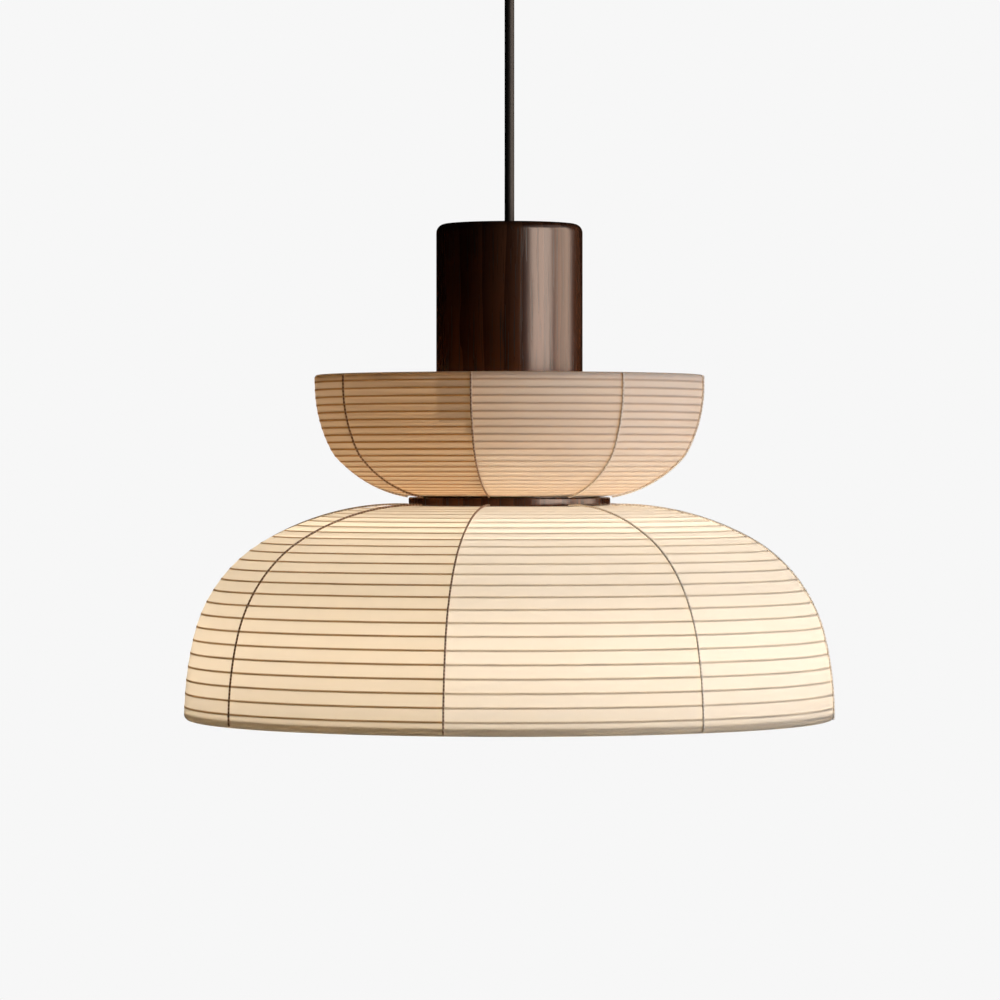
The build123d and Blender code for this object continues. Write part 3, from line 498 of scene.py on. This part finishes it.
def section_line(name, shade):
    """A shade's half section as a curve from hem to neck, its length, and the radius of the hem."""
    low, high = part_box(f"{name}_rim_hoop")
    hem_r = (high.z - low.z) / 2 / MM + HEM_WRAP
    rim_r = high.x / MM + HEM_WRAP
    rim_z = (low.z + high.z) / 2 / MM - shade["way"] * hem_r
    wall_turn, shoulder_turn = radians(shade["wall_turn"]), radians(shade["shoulder_turn"])
    shoulder_r, crown_r = shade["shoulder_r"], shade["crown_r"]
    upright = hem_r + shade["straight"]
    left = shade["height"] - upright - crown_r - (shoulder_r - crown_r) * sin(shoulder_turn)
    wall_r = left / sin(wall_turn) + shoulder_r
    wall = Vector((rim_r - wall_r, upright))
    shoulder = wall + (wall_r - shoulder_r) * Vector((cos(wall_turn), sin(wall_turn)))
    crown = shoulder + (shoulder_r - crown_r) * Vector((cos(shoulder_turn), sin(shoulder_turn)))
    neck = acos((NECK_R - crown.x) / crown_r)
    arcs = [(Vector((rim_r - hem_r, hem_r)), hem_r, -pi, 0), (wall, wall_r, 0, wall_turn),
            (shoulder, shoulder_r, wall_turn, shoulder_turn), (crown, crown_r, shoulder_turn, neck)]
    points = []
    for centre, radius, start, end in arcs:
        steps = max(24, round(radius * (end - start)))
        for step in range(steps + 1):
            angle = start + (end - start) * step / steps
            points.append(centre + radius * Vector((cos(angle), sin(angle))))
    data = bpy.data.curves.new(name + "_section", "CURVE")
    data.dimensions = "3D"
    spline = data.splines.new("POLY")
    spline.points.add(len(points) - 1)
    for point, spot in zip(spline.points, points):
        point.co = (spot.x * MM, 0, (rim_z + shade["way"] * spot.y) * MM, 1)
    length = sum((b - a).length for a, b in zip(points, points[1:]))
    return new_piece(name + "_section", data), length, hem_r


def new_tree(name, inputs, outputs):
    """An empty Geometry Nodes tree with named inputs and outputs."""
    tree = bpy.data.node_groups.new(name, "GeometryNodeTree")
    for label, kind in inputs.items():
        tree.interface.new_socket(label, in_out="INPUT", socket_type="NodeSocket" + kind)
    for label, kind in outputs.items():
        tree.interface.new_socket(label, in_out="OUTPUT", socket_type="NodeSocket" + kind)
    return tree, tree.nodes.new("NodeGroupInput").outputs


def grow(name, tree, sizes):
    """A piece whose plain mesh is what a Geometry Nodes tree makes with these inputs."""
    piece = new_piece(name, bpy.data.meshes.new(name))
    modifier = piece.modifiers.new(tree.name, "NODES")
    modifier.node_group = tree
    for item in tree.interface.items_tree:
        if item.in_out == "INPUT":
            modifier[item.identifier] = sizes[item.name]
    depsgraph = bpy.context.evaluated_depsgraph_get()
    mesh = bpy.data.meshes.new_from_object(piece.evaluated_get(depsgraph), depsgraph=depsgraph)
    piece.modifiers.remove(modifier)
    for place in reversed(range(len(mesh.materials))):
        if mesh.materials[place] is None:
            mesh.materials.pop(index=place)
    piece.data = mesh
    return piece


# A bow is nought at every whole number and one half way between two
bow_tree, given = new_tree("bow_between_holds", {"Place": "Float"}, {"Bow": "Float"})
part = add(bow_tree, "ShaderNodeMath", {0: given["Place"]}, operation="FRACT")
part = add(bow_tree, "ShaderNodeMath", {0: part, 1: 2.0, 2: -1.0}, operation="MULTIPLY_ADD")
part = add(bow_tree, "ShaderNodeMath", {0: part, 1: part}, operation="MULTIPLY")
part = add(bow_tree, "ShaderNodeMath", {0: 1.0, 1: part}, operation="SUBTRACT")
add(bow_tree, "NodeGroupOutput", {"Bow": part})

# A point on a shade, by its turn about the axis and its way along the section, both from 0 to 1. Taut
# paper draws in a little between two seams, most half way from rim to neck.
SHADE_INPUTS = {"Section": "Object", "Inward": "Vector", "Gores": "Float", "Seam at": "Float",
                "Drawn in": "Float"}
point_inputs = {**SHADE_INPUTS, "Turn": "Float", "Along": "Float", "Inset": "Float"}
point_tree, given = new_tree("point_on_shade", point_inputs, {"Point": "Vector"})
section = add(point_tree, "GeometryNodeObjectInfo", {"Object": given["Section"]}).outputs["Geometry"]
spot = add(point_tree, "GeometryNodeSampleCurve", {"Curves": section, "Factor": given["Along"]},
           mode="FACTOR", use_all_curves=True).outputs
inward = add(point_tree, "ShaderNodeVectorMath", {0: spot["Tangent"], 1: given["Inward"]},
             operation="CROSS_PRODUCT")
inset = add(point_tree, "ShaderNodeVectorMath", {0: inward, 1: given["Inset"], 2: spot["Position"]},
            operation="MULTIPLY_ADD")
gore = add(point_tree, "ShaderNodeMath", {0: given["Turn"], 1: given["Gores"]}, operation="MULTIPLY")
across = add(point_tree, "GeometryNodeGroup", {"Place": gore}, node_tree=bow_tree)
down = add(point_tree, "GeometryNodeGroup", {"Place": given["Along"]}, node_tree=bow_tree)
draw = add(point_tree, "ShaderNodeMath", {0: across, 1: down}, operation="MULTIPLY")
draw = add(point_tree, "ShaderNodeMath", {0: draw, 1: given["Drawn in"]}, operation="MULTIPLY")
draw = add(point_tree, "ShaderNodeMath", {0: 1.0, 1: draw}, operation="SUBTRACT")
draw = add(point_tree, "ShaderNodeCombineXYZ", {"X": draw, "Y": 1.0, "Z": 1.0})
drawn = add(point_tree, "ShaderNodeVectorMath", {0: inset, 1: draw}, operation="MULTIPLY")
angle = add(point_tree, "ShaderNodeMath", {0: given["Turn"], 1: tau, 2: given["Seam at"]},
            operation="MULTIPLY_ADD")
point = add(point_tree, "ShaderNodeVectorRotate", {"Vector": drawn, "Angle": angle},
            rotation_type="Z_AXIS")
add(point_tree, "NodeGroupOutput", {"Point": point})

# The paper itself: a sheet over the whole shade, sagging a little from rib to rib. It keeps the tint of
# its gore, partly painted shade, its place in rib spaces and half a rib's width, and is creased at the
# seams.
GRID_CORNER = (0.5, 0.5, 0)  # a grid is made about its middle
NEAR_SEAM = 0.01  # a share of a gore
paper_inputs = {**SHADE_INPUTS, "Columns": "Int", "Rows": "Int", "Rib spaces": "Float", "Hem": "Float",
                "Rib half": "Float", "Sag": "Float", "Seed": "Int", "Turn over": "Bool",
                "Finish": "Material"}
paper_tree, given = new_tree("paper_sheet", paper_inputs, {"Geometry": "Geometry"})
grid = add(paper_tree, "GeometryNodeMeshGrid", {"Size X": 1.0, "Size Y": 1.0,
                                                "Vertices X": given["Columns"],
                                                "Vertices Y": given["Rows"]}).outputs
flat = add(paper_tree, "GeometryNodeInputPosition")
flat = add(paper_tree, "ShaderNodeVectorMath", {0: flat, 1: GRID_CORNER}, operation="ADD")
flat = add(paper_tree, "ShaderNodeSeparateXYZ", {0: flat}).outputs
gore = add(paper_tree, "ShaderNodeMath", {0: flat["X"], 1: given["Gores"]}, operation="MULTIPLY")
number = add(paper_tree, "ShaderNodeMath", {0: gore}, operation="FLOOR")
# each gore's tint: random, with the seed picked so that it also paints shade on the gores turned from the
# key soft box
tint_and_shade = add(paper_tree, "FunctionNodeRandomValue", {"ID": number, "Seed": given["Seed"]},
           data_type="FLOAT")
sheet = add(paper_tree, "GeometryNodeStoreNamedAttribute",
            {"Geometry": grid["Mesh"], "Name": "UVMap", "Value": grid["UV Map"]},
            data_type="FLOAT2", domain="CORNER")
sheet = add(paper_tree, "GeometryNodeStoreNamedAttribute",
            {"Geometry": sheet, "Name": "gore_tint", "Value": tint_and_shade}, data_type="FLOAT", domain="FACE")
nearest = add(paper_tree, "ShaderNodeMath", {0: gore, 1: 1.0}, operation="PINGPONG")
even_seam = add(paper_tree, "FunctionNodeCompare", {0: nearest, 1: NEAR_SEAM}, data_type="FLOAT",
                operation="LESS_THAN")
odd_seam = add(paper_tree, "FunctionNodeCompare", {0: nearest, 1: 1 - NEAR_SEAM}, data_type="FLOAT",
               operation="GREATER_THAN")
on_seam = add(paper_tree, "FunctionNodeBooleanMath", {0: even_seam, 1: odd_seam}, operation="OR")
sheet = add(paper_tree, "GeometryNodeStoreNamedAttribute",
            {"Geometry": sheet, "Name": "sharp_edge", "Value": on_seam},
            data_type="BOOLEAN", domain="EDGE")
space = add(paper_tree, "ShaderNodeMath", {0: flat["Y"], 1: given["Rib spaces"]}, operation="MULTIPLY")
space = add(paper_tree, "ShaderNodeMath", {0: space, 1: given["Hem"]}, operation="SUBTRACT")
sheet = add(paper_tree, "GeometryNodeStoreNamedAttribute",
            {"Geometry": sheet, "Name": "rib_space", "Value": space}, data_type="FLOAT", domain="POINT")
sheet = add(paper_tree, "GeometryNodeStoreNamedAttribute",
            {"Geometry": sheet, "Name": "rib_half", "Value": given["Rib half"]},
            data_type="FLOAT", domain="POINT")
space = add(paper_tree, "ShaderNodeMath", {0: space, 1: 1.0}, operation="MAXIMUM")
sag = add(paper_tree, "GeometryNodeGroup", {"Place": space}, node_tree=bow_tree)
sag = add(paper_tree, "ShaderNodeMath", {0: sag, 1: given["Sag"]}, operation="MULTIPLY")
shared = {label: given[label] for label in SHADE_INPUTS}
point = add(paper_tree, "GeometryNodeGroup",
            {**shared, "Turn": flat["X"], "Along": flat["Y"], "Inset": sag}, node_tree=point_tree)
sheet = add(paper_tree, "GeometryNodeSetPosition", {"Geometry": sheet, "Position": point})
sheet = add(paper_tree, "GeometryNodeMergeByDistance", {"Geometry": sheet, "Distance": WELD * MM})
sheet = add(paper_tree, "GeometryNodeFlipFaces", {"Mesh": sheet, "Selection": given["Turn over"]})
sheet = add(paper_tree, "GeometryNodeSetShadeSmooth", {"Geometry": sheet, "Shade Smooth": True})
sheet = add(paper_tree, "GeometryNodeRealizeInstances", {"Geometry": sheet})
sheet = add(paper_tree, "GeometryNodeSetMaterial", {"Geometry": sheet, "Material": given["Finish"]})
add(paper_tree, "NodeGroupOutput", {"Geometry": sheet})

# Round lines on a shade: closed ribs inside the paper, or cords over its seams. Of a grid, only the edges
# along the run are kept. A seam cord takes the tint, partly painted shade, of the gore before it.
NO_STRIDE = 1e-6
line_inputs = {**SHADE_INPUTS, "Columns": "Int", "Rows": "Int", "Last turn": "Float", "First": "Float",
               "Last": "Float", "Inset": "Float", "Run": "Vector", "Radius": "Float", "Sides": "Int",
               "Seed": "Int", "Finish": "Material"}
line_tree, given = new_tree("lines_on_shade", line_inputs, {"Geometry": "Geometry"})
lines = add(line_tree, "GeometryNodeMeshGrid", {"Size X": 1.0, "Size Y": 1.0,
                                                "Vertices X": given["Columns"],
                                                "Vertices Y": given["Rows"]})
ends = add(line_tree, "GeometryNodeInputMeshEdgeVertices").outputs
stride = add(line_tree, "ShaderNodeVectorMath", {0: ends["Position 1"], 1: ends["Position 2"]},
             operation="SUBTRACT")
stride = add(line_tree, "ShaderNodeVectorMath", {0: stride, 1: given["Run"]}, operation="DOT_PRODUCT")
stride = add(line_tree, "ShaderNodeMath", {0: stride}, operation="ABSOLUTE")
crossing = add(line_tree, "FunctionNodeCompare", {0: stride, 1: NO_STRIDE}, data_type="FLOAT",
               operation="LESS_THAN")
lines = add(line_tree, "GeometryNodeDeleteGeometry", {"Geometry": lines, "Selection": crossing},
            domain="EDGE", mode="EDGE_FACE")
flat = add(line_tree, "GeometryNodeInputPosition")
flat = add(line_tree, "ShaderNodeVectorMath", {0: flat, 1: GRID_CORNER}, operation="ADD")
flat = add(line_tree, "ShaderNodeSeparateXYZ", {0: flat}).outputs
turn = add(line_tree, "ShaderNodeMath", {0: flat["X"], 1: given["Last turn"]}, operation="MULTIPLY")
along = add(line_tree, "ShaderNodeMapRange", {"Value": flat["Y"], "To Min": given["First"],
                                              "To Max": given["Last"]})
shared = {label: given[label] for label in SHADE_INPUTS}
point = add(line_tree, "GeometryNodeGroup",
            {**shared, "Turn": turn, "Along": along, "Inset": given["Inset"]}, node_tree=point_tree)
number = add(line_tree, "ShaderNodeMath", {0: turn, 1: given["Gores"], 2: given["Gores"]},
             operation="MULTIPLY_ADD")
number = add(line_tree, "ShaderNodeMath", {0: number, 1: 0.5}, operation="SUBTRACT")
number = add(line_tree, "ShaderNodeMath", {0: number, 1: given["Gores"]}, operation="MODULO")
number = add(line_tree, "ShaderNodeMath", {0: number}, operation="FLOOR")
tint_and_shade = add(line_tree, "FunctionNodeRandomValue", {"ID": number, "Seed": given["Seed"]}, data_type="FLOAT")
lines = add(line_tree, "GeometryNodeStoreNamedAttribute",
            {"Geometry": lines, "Name": "gore_tint", "Value": tint_and_shade}, data_type="FLOAT", domain="POINT")
lines = add(line_tree, "GeometryNodeSetPosition", {"Geometry": lines, "Position": point})
lines = add(line_tree, "GeometryNodeMergeByDistance", {"Geometry": lines, "Distance": WELD * MM})
lines = add(line_tree, "GeometryNodeMeshToCurve", {"Mesh": lines})
length = add(line_tree, "GeometryNodeSplineParameter").outputs["Length"]
lines = add(line_tree, "GeometryNodeStoreNamedAttribute",
            {"Geometry": lines, "Name": "lay", "Value": length}, data_type="FLOAT", domain="POINT")
profile = add(line_tree, "GeometryNodeCurvePrimitiveCircle", {"Resolution": given["Sides"],
                                                              "Radius": given["Radius"]})
lines = add(line_tree, "GeometryNodeCurveToMesh", {"Curve": lines, "Profile Curve": profile,
                                                   "Fill Caps": True})
lines = add(line_tree, "GeometryNodeSetShadeSmooth", {"Geometry": lines, "Shade Smooth": True})
lines = add(line_tree, "GeometryNodeRealizeInstances", {"Geometry": lines})
lines = add(line_tree, "GeometryNodeSetMaterial", {"Geometry": lines, "Material": given["Finish"]})
add(line_tree, "NodeGroupOutput", {"Geometry": lines})


# Mulberry paper: thin and cloudy, with long fibres that show when light comes through it. Deep gores are
# warmer and clearer than pale ones, the deep tint being partly painted shade. Along the ribs the face and
# the glow are darkened, partly glue stain and partly painted rib shadow, more on deep gores than pale
# ones.
def mulberry_paper(name, face, lit, through, clear, gaps, least_rib_stain_and_shadow):
    """Paper with a pale and a deep colour for its face and its glow. A share goes straight through."""
    material, tree = new_material(name)
    place = add(tree, "ShaderNodeTexCoord").outputs["Object"]
    cloud = add(tree, "ShaderNodeTexNoise", {"Vector": place, "Scale": 1 / (CLOUD * MM), "Detail": 5.0})
    fibre = add(tree, "ShaderNodeTexNoise", {"Vector": place, "Scale": 1 / (FIBRE * MM), "Detail": 3.0,
                                             "Distortion": 1.2}, noise_type="RIDGED_MULTIFRACTAL")
    strands = add(tree, "ShaderNodeMapRange", {"Value": fibre, "From Min": 0.6, "From Max": 2.0})
    tint_and_shade = add(tree, "ShaderNodeAttribute", attribute_name="gore_tint").outputs["Fac"]
    depth = add(tree, "ShaderNodeMath", {0: cloud, 1: 0.5, 2: tint_and_shade}, operation="MULTIPLY_ADD")
    depth = add(tree, "ShaderNodeMath", {0: strands, 1: 0.25, 2: depth}, operation="MULTIPLY_ADD")
    depth = add(tree, "ShaderNodeMapRange", {"Value": depth, "From Min": 0.2, "From Max": 1.5})
    # how far it is to the nearest rib, in halves of a rib; the hem has no rib in it
    space = add(tree, "ShaderNodeAttribute", attribute_name="rib_space").outputs["Fac"]
    space = add(tree, "ShaderNodeMath", {0: space, 1: 0.5}, operation="MAXIMUM")
    off = add(tree, "ShaderNodeMath", {0: space, 1: 0.5}, operation="PINGPONG")
    half = add(tree, "ShaderNodeAttribute", attribute_name="rib_half").outputs["Fac"]
    off = add(tree, "ShaderNodeMath", {0: off, 1: half}, operation="DIVIDE")
    # a painted rib shadow, partly glue stain, along each rib, stronger on the deep gores
    rib_stain_and_shadow = add(tree, "ShaderNodeMapRange", {"Value": off, "From Min": 1.5, "From Max": 0.5})
    rib_stain_and_shadow_share = add(tree, "ShaderNodeMath", {0: tint_and_shade, 1: least_rib_stain_and_shadow}, operation="MAXIMUM")
    rib_stain_and_shadow = add(tree, "ShaderNodeMath", {0: rib_stain_and_shadow, 1: rib_stain_and_shadow_share}, operation="MULTIPLY")
    colour = add(tree, "ShaderNodeMix", {0: depth, 6: linear(face[0]), 7: linear(face[1])},
                 data_type="RGBA")
    colour = add(tree, "ShaderNodeMix", {0: rib_stain_and_shadow, 6: colour, 7: linear(RIB_STAIN_AND_SHADOW)}, data_type="RGBA")
    warm = add(tree, "ShaderNodeMix", {0: depth, 6: linear(lit[0]), 7: linear(lit[1])}, data_type="RGBA")
    warm = add(tree, "ShaderNodeMix", {0: rib_stain_and_shadow, 6: warm, 7: linear(RIB_STAIN_AND_SHADOW_LIT)}, data_type="RGBA")
    bump = add(tree, "ShaderNodeBump", {"Height": fibre, "Strength": 0.4, "Distance": 0.03 * MM})
    skin = add(tree, "ShaderNodeBsdfPrincipled", {"Base Color": colour, "Roughness": 0.8, "Normal": bump,
                                                  "Specular IOR Level": 0.15})
    glow = add(tree, "ShaderNodeBsdfTranslucent", {"Color": warm, "Normal": bump})
    sheet = add(tree, "ShaderNodeMixShader", {0: through, 1: skin, 2: glow})
    straight = add(tree, "ShaderNodeBsdfTransparent", {"Color": linear(gaps)})
    share = add(tree, "ShaderNodeMapRange", {"Value": tint_and_shade, "To Min": clear[0], "To Max": clear[1]})
    sheet = add(tree, "ShaderNodeMixShader", {0: share, 1: sheet, 2: straight})
    add(tree, "ShaderNodeOutputMaterial", {"Surface": sheet})
    return material


# Split bamboo: straw brown, scraped smooth, and so thin that it glows before a lamp
def split_bamboo(name, through, lit):
    """Bamboo that lets a share of the light through in its lit colour."""
    material, tree = new_material(name)
    place = add(tree, "ShaderNodeTexCoord").outputs["Object"]
    noise = add(tree, "ShaderNodeTexNoise", {"Vector": place, "Scale": 1 / (BAMBOO_GRAIN * MM),
                                             "Detail": 4.0})
    straw = add(tree, "ShaderNodeMix", {0: noise, 6: linear("#5e4128"), 7: linear("#8a6740")},
                data_type="RGBA")
    bump = add(tree, "ShaderNodeBump", {"Height": noise, "Strength": 1.0, "Distance": 0.02 * MM})
    skin = add(tree, "ShaderNodeBsdfPrincipled", {"Base Color": straw, "Roughness": 0.58, "Normal": bump})
    glow = add(tree, "ShaderNodeBsdfTranslucent", {"Color": linear(lit), "Normal": bump})
    split = add(tree, "ShaderNodeMixShader", {0: through, 1: skin, 2: glow})
    add(tree, "ShaderNodeOutputMaterial", {"Surface": split})
    return material


# Glazed cotton cord: twisted, with a dull shine, undyed beside pale gores and brown beside deep ones,
# which is partly dye and partly painted shade
cotton, tree = new_material("twisted_brown_cotton")
lay = add(tree, "ShaderNodeAttribute", attribute_name="lay").outputs["Fac"]
twist = add(tree, "ShaderNodeMath", {0: lay, 1: tau / (SEAM_TWIST * MM)}, operation="MULTIPLY")
twist = add(tree, "ShaderNodeMath", {0: twist}, operation="SINE")
strand = add(tree, "ShaderNodeMapRange", {"Value": twist, "From Min": -1.0})
tint_and_shade = add(tree, "ShaderNodeAttribute", attribute_name="gore_tint").outputs["Fac"]
cord_dye_and_shade = add(tree, "ShaderNodeMix", {0: tint_and_shade, 6: linear("#ece2d2"), 7: linear("#6e523c")}, data_type="RGBA")
worn_dye_and_shade = add(tree, "ShaderNodeMix", {0: tint_and_shade, 6: linear("#f6efe3"), 7: linear("#a4866b")}, data_type="RGBA")
colour = add(tree, "ShaderNodeMix", {0: strand, 6: cord_dye_and_shade, 7: worn_dye_and_shade}, data_type="RGBA")
bump = add(tree, "ShaderNodeBump", {"Height": strand, "Strength": 0.6, "Distance": 0.1 * MM})
surface = add(tree, "ShaderNodeBsdfPrincipled", {"Base Color": colour, "Roughness": 0.5, "Normal": bump,
                                                 "Specular IOR Level": 0.4})
add(tree, "ShaderNodeOutputMaterial", {"Surface": surface})

for name, shade in SHADES.items():
    line, length, hem_r = section_line(name, shade)
    rolled = (pi - 1) * hem_r
    pitch = (length - rolled) / shade["spaces"]
    spaces, hem = length / pitch, rolled / pitch
    columns = GORES * GORE_COLUMNS + 1
    shared = {"Section": line, "Inward": (0.0, float(shade["way"]), 0.0), "Gores": float(GORES),
              "Seam at": radians(SEAM_AT), "Drawn in": DRAWN_IN, "Seed": GORE_TINT_AND_SHADE_SEED}

    # the inner face is toned, in the dome darker as painted shade, and mostly clear, so that the inside
    # of the lit shade isn't burnt out
    outside = mulberry_paper(f"mulberry_paper_{name}", PAPER_FACE, shade["lit"], shade["through"],
                             shade["clear"], shade["gaps"], shade["least_rib_stain_and_shadow"])
    inside = mulberry_paper(f"mulberry_paper_{name}_inside", (shade["inside"], shade["inside"]),
                            PAPER_LIT, INNER_THROUGH, INNER_CLEAR, shade["inside"], shade["least_rib_stain_and_shadow"])
    sheet = grow(name + "_shade_paper", paper_tree,
                 {**shared, "Columns": columns, "Rows": shade["rows"] + 1, "Rib spaces": spaces,
                  "Hem": hem, "Rib half": RIB_R / pitch, "Sag": SAG * MM, "Turn over": shade["way"] < 0,
                  "Finish": outside})
    sheet.data.materials.append(inside)
    wall = sheet.modifiers.new("paper_thickness", "SOLIDIFY")
    wall.thickness = PAPER * MM
    wall.offset = -1.0
    wall.material_offset = 1
    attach(sheet, "pendant")
    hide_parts(*[f"{name}_paper_{i}" for i in range(1, GORES + 1)])

    bamboo = split_bamboo("split_bamboo_" + name, *shade["bamboo"])
    ribs = grow(name + "_bamboo_ribs", line_tree,
                {**shared, "Columns": columns, "Rows": shade["spaces"] - 1, "Last turn": 1.0,
                 "First": (1 + hem) / spaces, "Last": (shade["spaces"] - 1 + hem) / spaces,
                 "Inset": (PAPER + RIB_GAP + RIB_R) * MM, "Run": (1.0, 0.0, 0.0),
                 "Radius": RIB_R * MM, "Sides": LINE_SIDES, "Finish": bamboo})
    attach(ribs, "pendant")
    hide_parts(name + "_ribs")
    dress(bamboo, name + "_rim_hoop")

    seams = grow(name + "_seam_cords", line_tree,
                 {**shared, "Columns": GORES, "Rows": shade["rows"], "Last turn": (GORES - 1) / GORES,
                  "First": hem_r * radians(SEAM_FROM) / length, "Last": 1 - SEAM_SHORT / length,
                  "Inset": -(SEAM_GAP + SEAM_R) * MM, "Run": (0.0, 1.0, 0.0),
                  "Radius": SEAM_R * MM, "Sides": LINE_SIDES, "Finish": cotton})
    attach(seams, "pendant")
    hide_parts(name + "_seams")
    dress(zinc, name + "_neck_hoop")
    bpy.data.objects.remove(line)


# The bulb: an opal glass ball on a nickel-plated screw cap with a black glass base and a brass button,
# screwed up into the lampholder. Its light fills the dome, and what goes up past the ring lights the
# bowl.
BULB_R = 30.0
BULB_NECK_R = 13.5
BULB_NECK_Z = -317.5
BULB_TOP_Z = -313.8
BULB_BALL_Z = -367.5
OPAL_CLOUD = 8.0
OPAL_GLOW = 0.5
GLOW = "#fff6ef"
BOWL_GLOW = "#ffdab6"
DOME_LIGHT = 7.2  # the lights' powers are in watts
DOME_LIGHT_R = 191.0
DOME_LIGHT_Z = -479.0
DOWN_LIGHT = 2.55
DOWN_LIGHT_R = 70.0
DOWN_LIGHT_Z = -399.0
BOWL_LIGHT = 0.6
BOWL_LIGHT_R = 9.0
BOWL_LIGHT_Z = -313.5

# Opal glass: milk-white, satin, evenly bright when lit
opal, tree = new_material("lit_opal_glass")
place = add(tree, "ShaderNodeTexCoord").outputs["Object"]
cloud = add(tree, "ShaderNodeTexNoise", {"Vector": place, "Scale": 1 / (OPAL_CLOUD * MM), "Detail": 2.0})
gloss = add(tree, "ShaderNodeMapRange", {"Value": cloud, "To Min": 0.2, "To Max": 0.34})
milk = add(tree, "ShaderNodeMix", {0: cloud, 6: linear("#fff3e0"), 7: linear("#ffecd2")},
           data_type="RGBA")
surface = add(tree, "ShaderNodeBsdfPrincipled", {"Base Color": milk, "Roughness": gloss,
                                                 "Emission Color": linear(GLOW),
                                                 "Emission Strength": OPAL_GLOW})
add(tree, "ShaderNodeOutputMaterial", {"Surface": surface})
# Nickel plate: bright, slightly warm metal
nickel = plain_finish("nickel_plated_brass", "#a9a59c", "#d6d2c8", grain=1.5, roughness=(0.16, 0.28),
                      relief=0.004, Metallic=1.0)
# Pressed black glass: deep black and shiny, a little wavy
black_glass = plain_finish("pressed_black_glass", "#08080a", "#121214", grain=2.0, roughness=(0.1, 0.2),
                           relief=0.005)
# Coated filament: strips under a matt amber coat
filament = plain_finish("coated_filament", "#e8b23a", "#f6cf6a", grain=0.6, roughness=(0.4, 0.6),
                        relief=0.01)


def arc(centre, radius, start, end, steps):
    """Points along an arc of an outline, the angles in radians."""
    angles = [start + (end - start) * step / steps for step in range(steps + 1)]
    return [(centre[0] + radius * cos(angle), centre[1] + radius * sin(angle)) for angle in angles]


rise = BULB_NECK_Z - BULB_BALL_Z
flare = (BULB_NECK_R ** 2 + rise ** 2 - BULB_R ** 2) / (2 * (BULB_R - BULB_NECK_R))
touch = asin(rise / (BULB_R + flare))
glass_outline = (arc((0, BULB_BALL_Z), BULB_R, -pi / 2, touch, 40)
                 + arc((BULB_NECK_R + flare, BULB_NECK_Z), flare, pi + touch, pi, 24)[1:]
                 + [(BULB_NECK_R, BULB_TOP_Z), (0, BULB_TOP_Z)])
glass = turn_piece("opal_ball", glass_outline, opal, steps=96)
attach(glass, "bulb")
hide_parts("bulb_glass")
dress(nickel, "bulb_cap")
dress(black_glass, "bulb_base")
dress(brass, "bulb_button")
dress(filament, "filament_stem")


# Three lamps on the pendant stand in for the bulb's light: a disc at the rim that shines up into the
# dome, a small disc that shines down its wall, and a small ball for the bowl.
def axis_lamp(name, kind, height, power, colour):
    """A lamp on the pendant's axis. A disc shines down until it is turned over."""
    light = bpy.data.lights.new(name, kind)
    light.energy = power
    light.color = linear(colour)[:3]
    lamp = new_piece(name, light)
    lamp.location = (0, 0, height * MM)
    return lamp


def left_out(name, pieces):
    """A collection that a lamp leaves out, of what it lights or of what shades it."""
    group = bpy.data.collections.new(name)
    for piece in pieces:
        group.objects.link(piece)
    for member in group.collection_objects:
        member.light_linking.link_state = "EXCLUDE"
    return group


dome_light = axis_lamp("dome_light", "AREA", DOME_LIGHT_Z, DOME_LIGHT, GLOW)
dome_light.data.shape = "DISK"
dome_light.data.size = 2 * DOME_LIGHT_R * MM
dome_light.rotation_euler = (pi, 0, 0)
down_light = axis_lamp("down_light", "AREA", DOWN_LIGHT_Z, DOWN_LIGHT, GLOW)
down_light.data.shape = "DISK"
down_light.data.size = 2 * DOWN_LIGHT_R * MM
bowl_light = axis_lamp("bowl_light", "POINT", BOWL_LIGHT_Z, BOWL_LIGHT, BOWL_GLOW)
bowl_light.data.shadow_soft_size = BOWL_LIGHT_R * MM

# The lamps are so close to the bulb that its own pieces would burn out or shade them. The real glow is
# spread out and gets past the lampholder and the spider, so these don't shade the bowl's lamp.
bulb_nodes = ("bulb_cap", "bulb_base", "bulb_button", "filament_stem")
bulb_pieces = [glass] + [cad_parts[node] for node in bulb_nodes]
for piece in bulb_pieces:
    piece.visible_shadow = False
own_light = left_out("not_lit_by_its_own_light", bulb_pieces)
passed_nodes = ("holder_cap", "holder_skirt", "holder_core", "screw_shell", "clamp_rings", "wire_spider")
let_past = left_out("let_past_by_the_bowl_light", [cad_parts[node] for node in passed_nodes])
bowl_light.light_linking.blocker_collection = let_past
for lamp in (dome_light, down_light, bowl_light):
    lamp.light_linking.receiver_collection = own_light
    lamp.visible_camera = False
    lamp.visible_glossy = False
    lamp.visible_transmission = False
    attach(lamp, "pendant")
